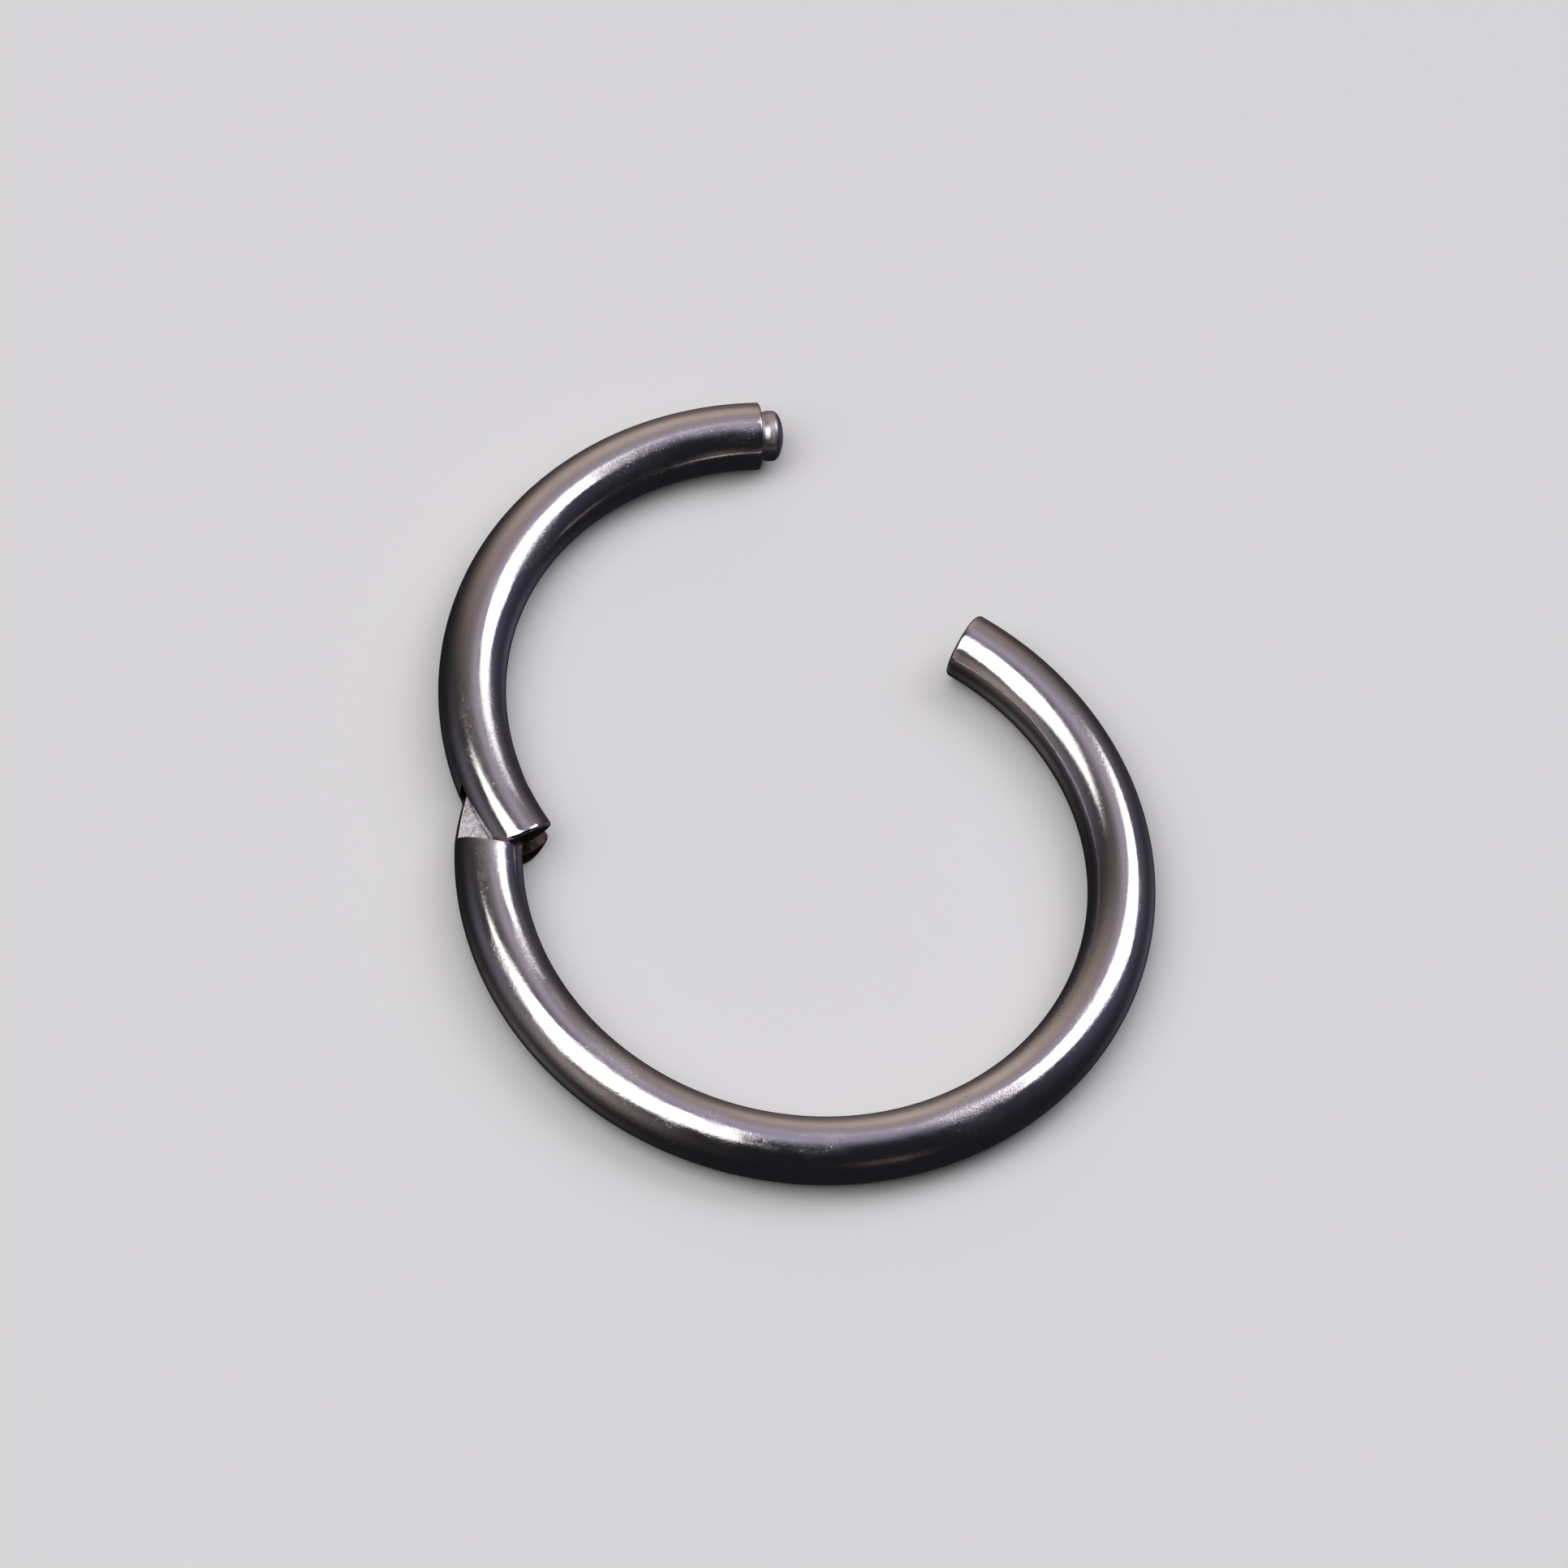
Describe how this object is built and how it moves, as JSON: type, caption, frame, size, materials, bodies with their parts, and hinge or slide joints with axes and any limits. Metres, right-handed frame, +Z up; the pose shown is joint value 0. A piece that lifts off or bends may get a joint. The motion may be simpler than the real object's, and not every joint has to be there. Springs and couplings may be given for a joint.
{
  "type": "hinged segment ring",
  "caption": "Hoop of polished round wire: a long arc with a tongue and a socket, and a short arc on a pin that swings open and shuts with a stub.",
  "frame": {"origin": "middle of the footprint of the open ring, on the surface that the ring lies on", "axes": "+Z up, out of the plane that the ring lies in; +X from the hinge across the ring; +Y towards the swung-out short arc, along the longest extent"},
  "size_m": [0.0134, 0.0154, 0.0012],
  "materials": {
    "long_segment": "polished",
    "hinged_segment": "polished",
    "hinge_pin": "polished flush"
  },
  "bodies": {
    "long_arc": {"long_segment": "long_segment"},
    "short_arc": {"hinged_segment": "hinged_segment", "hinge_pin": "hinge_pin"}
  },
  "joints": [
    {"name": "hinge", "type": "hinge", "parent": "long_arc", "child": "short_arc", "pos_m": [-0.0051, -0.00147, 0.00059], "axis": [0, 0, 1], "range_deg": [-35, 0]}
  ]
}
